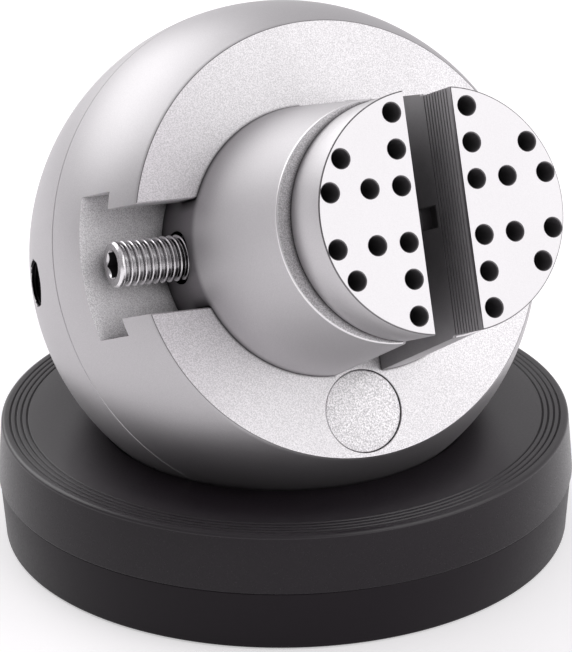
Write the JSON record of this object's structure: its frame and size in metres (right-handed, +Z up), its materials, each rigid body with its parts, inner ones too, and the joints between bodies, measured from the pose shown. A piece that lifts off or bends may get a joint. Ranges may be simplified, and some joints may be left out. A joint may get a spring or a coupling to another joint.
{
  "type": "ball vise",
  "caption": "Bench vise for engraving: a steel ball that swivels and tilts in a round base, with a rotating head and sliding pin jaws closed by a leadscrew.",
  "frame": {"origin": "on the bench under the foot, straight below the centre of the ball", "axes": "+Z up; the ball leans towards -Y and a little +X at rest, as in the picture, so that -Y is the viewer's side and +X is the viewer's right"},
  "size_m": [0.153, 0.1697, 0.1441],
  "materials": {
    "base_rubber": "satin moulded black rubber",
    "pad_rubber": "fine ribbed non-slip rubber",
    "screw_black": "black oxide steel",
    "bronze": "turned bearing bronze",
    "ball_satin": "satin chrome over blasted steel",
    "head_blasted": "grit-blasted satin chrome",
    "race_steel": "ground bearing steel",
    "bearing_chrome": "polished bearing steel",
    "spindle_steel": "ground steel",
    "bright_steel": "bright turned steel",
    "jaw_satin": "fine satin steel",
    "plate_ground": "bright satin steel",
    "liner_dark": "dark grooved fibre rubber"
  },
  "bodies": {
    "base": {"base_foot": "base_rubber", "base_ring": "base_rubber", "base_screws": "screw_black", "foot_pad": "pad_rubber"},
    "seat": {"seat_ring": "bronze"},
    "ball": {"lower_ball": "ball_satin", "lower_race": "race_steel", "spindle_bush": "bronze", "end_cap": "ball_satin"},
    "bearing": {"bearing_balls": "bearing_chrome", "bearing_cage": "bronze"},
    "head": {"upper_ball": "head_blasted", "upper_race": "race_steel", "spindle": "spindle_steel", "thrust_washer": "bronze", "preload_nut": "screw_black", "screw_yoke": "screw_black", "yoke_screws": "bright_steel", "loading_plug": "head_blasted"},
    "screw": {"leadscrew": "bright_steel"},
    "brake_plunger": {"brake_pad": "bronze"},
    "brake_adjuster": {"brake_screw": "screw_black"},
    "jaw_left": {"left_jaw": "jaw_satin", "left_screw_nut": "bronze", "left_jaw_liner": "liner_dark", "left_pin_plate": "plate_ground", "left_plate_liner": "liner_dark", "left_plate_screws": "screw_black"},
    "jaw_right": {"right_jaw": "jaw_satin", "right_screw_nut": "bronze", "right_jaw_liner": "liner_dark", "right_pin_plate": "plate_ground", "right_plate_liner": "liner_dark", "right_plate_screws": "screw_black"}
  },
  "joints": [
    {"name": "ball_swivel", "type": "hinge", "parent": "base", "child": "seat", "pos_m": [0, 0, 0.07615], "axis": [0, 0, 1], "continuous": true},
    {"name": "ball_tilt", "type": "hinge", "parent": "seat", "child": "ball", "pos_m": [0, 0, 0.07615], "axis": [0.8897, 0.4565, 0], "range_deg": [-63.63, 5]},
    {"name": "head_turn", "type": "hinge", "parent": "ball", "child": "head", "pos_m": [0, 0, 0.07615], "axis": [0.409, -0.7972, 0.4442], "continuous": true},
    {"name": "bearing_turn", "type": "hinge", "parent": "ball", "child": "bearing", "pos_m": [0, 0, 0.07615], "axis": [0.409, -0.7972, 0.4442], "continuous": true},
    {"name": "brake_travel", "type": "slide", "parent": "ball", "child": "brake_plunger", "axis": [0.9044, 0.4188, -0.0812], "range_m": [-0.002, 0.0002]},
    {"name": "brake_turn", "type": "hinge", "parent": "brake_plunger", "child": "brake_adjuster", "pos_m": [-0.00499, 0.00973, 0.07073], "axis": [0.9044, 0.4188, -0.0812], "range_deg": [-721, 73]},
    {"name": "leadscrew_turn", "type": "hinge", "parent": "head", "child": "screw", "pos_m": [0.01072, -0.02089, 0.08779], "axis": [0.9044, 0.4188, -0.0812], "range_deg": [-1176, 2616]},
    {"name": "left_jaw_slide", "type": "slide", "parent": "head", "child": "jaw_left", "axis": [-0.9044, -0.4188, 0.0812], "range_m": [-0.0062, 0.0138]},
    {"name": "right_jaw_slide", "type": "slide", "parent": "head", "child": "jaw_right", "axis": [0.9044, 0.4188, -0.0812], "range_m": [-0.0062, 0.0138]}
  ],
  "couplings": [
    {"joint": "bearing_turn", "follows": "head_turn", "ratio": 0.5},
    {"joint": "brake_turn", "follows": "brake_travel", "rad_per_m": 6283.2},
    {"joint": "leadscrew_turn", "follows": "left_jaw_slide", "rad_per_m": 3306.9},
    {"joint": "right_jaw_slide", "follows": "left_jaw_slide", "ratio": 1}
  ]
}
